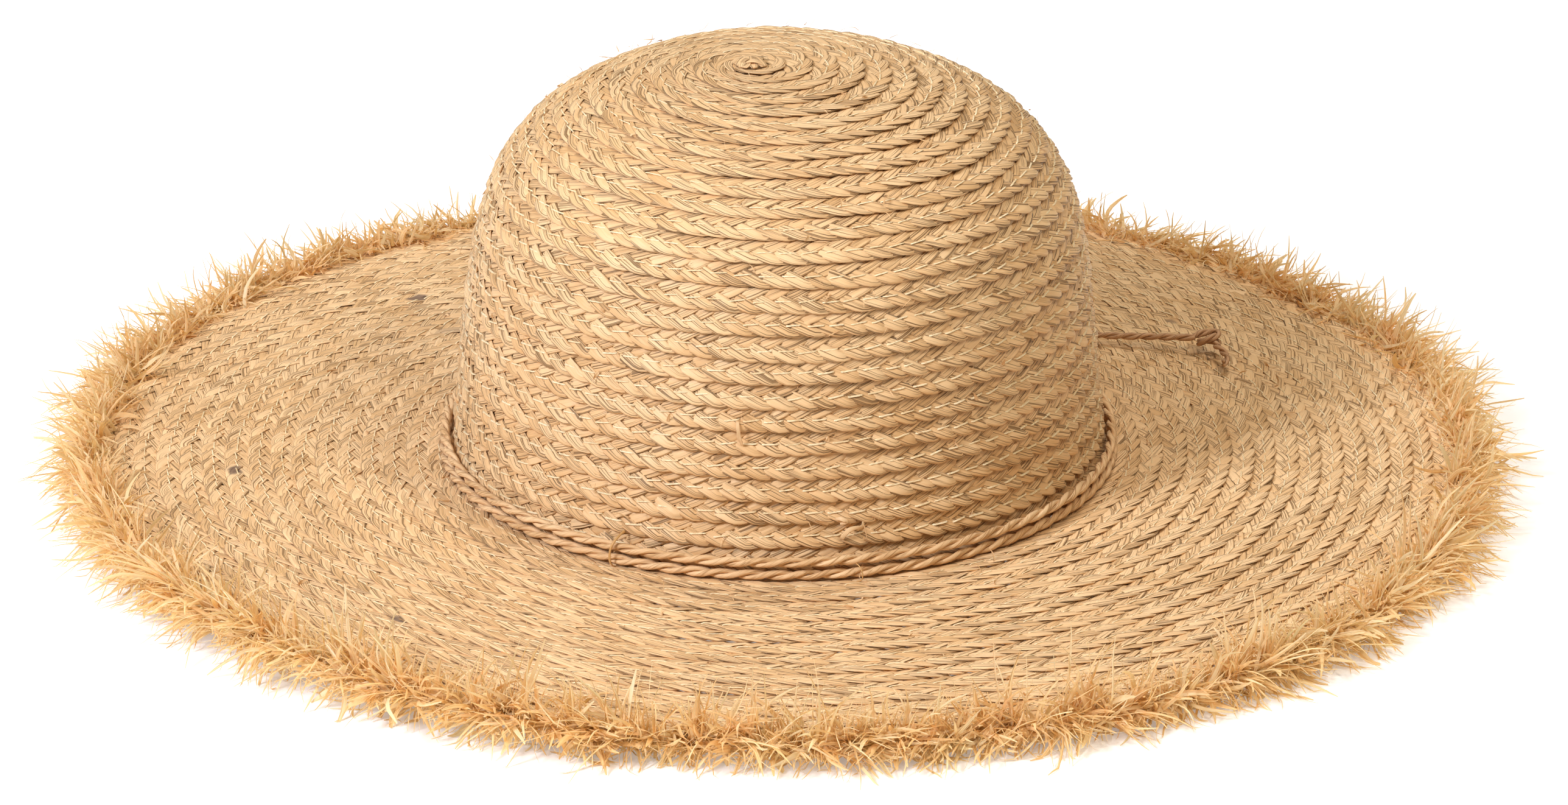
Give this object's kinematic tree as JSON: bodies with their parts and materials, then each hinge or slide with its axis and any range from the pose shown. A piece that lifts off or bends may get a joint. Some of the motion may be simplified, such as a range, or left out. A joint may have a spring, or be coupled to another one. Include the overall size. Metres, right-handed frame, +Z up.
{
  "type": "straw sun hat",
  "caption": "Wide-brimmed straw sun hat of sewn raffia braid with a shredded raffia edge, a twisted cord band with a knotted tail, and an inner sweatband.",
  "frame": {"origin": "on the crown's axis at table level, where the raffia edge rests", "axes": "+Z up along the crown's axis; -Y towards the front of the hat; +X towards the wearer's left"},
  "size_m": [0.424, 0.424, 0.1254],
  "materials": {
    "raffia_braid": "plaited natural raffia, dull sheen",
    "raffia_fringe": "shredded golden raffia",
    "raffia_cord": "two-ply twisted raffia cord",
    "sewing_thread": "cream-gold thread",
    "grosgrain": "ribbed ribbon, matt",
    "label_cloth": "blank woven satin label"
  },
  "bodies": {
    "hat": {"crown_braid": "raffia_braid", "brim_braid": "raffia_braid", "fringe_upper": "raffia_fringe", "fringe_lower": "raffia_fringe", "crown_stitching": "sewing_thread", "brim_stitching": "sewing_thread", "sweatband": "grosgrain", "sweatband_stitching": "sewing_thread", "cord_keeper_left": "raffia_braid", "cord_keeper_right": "raffia_braid"},
    "band": {"band_wrap_lower": "raffia_cord", "band_wrap_upper": "raffia_cord", "tie_knot": "raffia_cord"},
    "hitch": {"tail_hitch": "raffia_cord"},
    "tail": {"tail_cord": "raffia_cord", "end_knot": "raffia_cord", "tail_free_end": "raffia_cord"},
    "label": {"blank_label": "label_cloth"}
  },
  "joints": [
    {"name": "band_turn", "type": "hinge", "parent": "hat", "child": "band", "pos_m": [0, 0, 0.0104], "axis": [0, 0, 1], "range_deg": [-35, 35]},
    {"name": "tail_swing", "type": "hinge", "parent": "band", "child": "hitch", "pos_m": [0.05419, 0.08345, 0.0124], "axis": [0, 0, 1], "range_deg": [-20, 60]},
    {"name": "tail_lift", "type": "hinge", "parent": "hitch", "child": "tail", "pos_m": [0.05918, 0.08238, 0.0124], "axis": [-0.2096, -0.9778, 0], "range_deg": [0, 75]},
    {"name": "label_flip", "type": "hinge", "parent": "hat", "child": "label", "pos_m": [0, 0.0848, 0.031], "axis": [-1, 0, 0], "range_deg": [0, 120]}
  ]
}
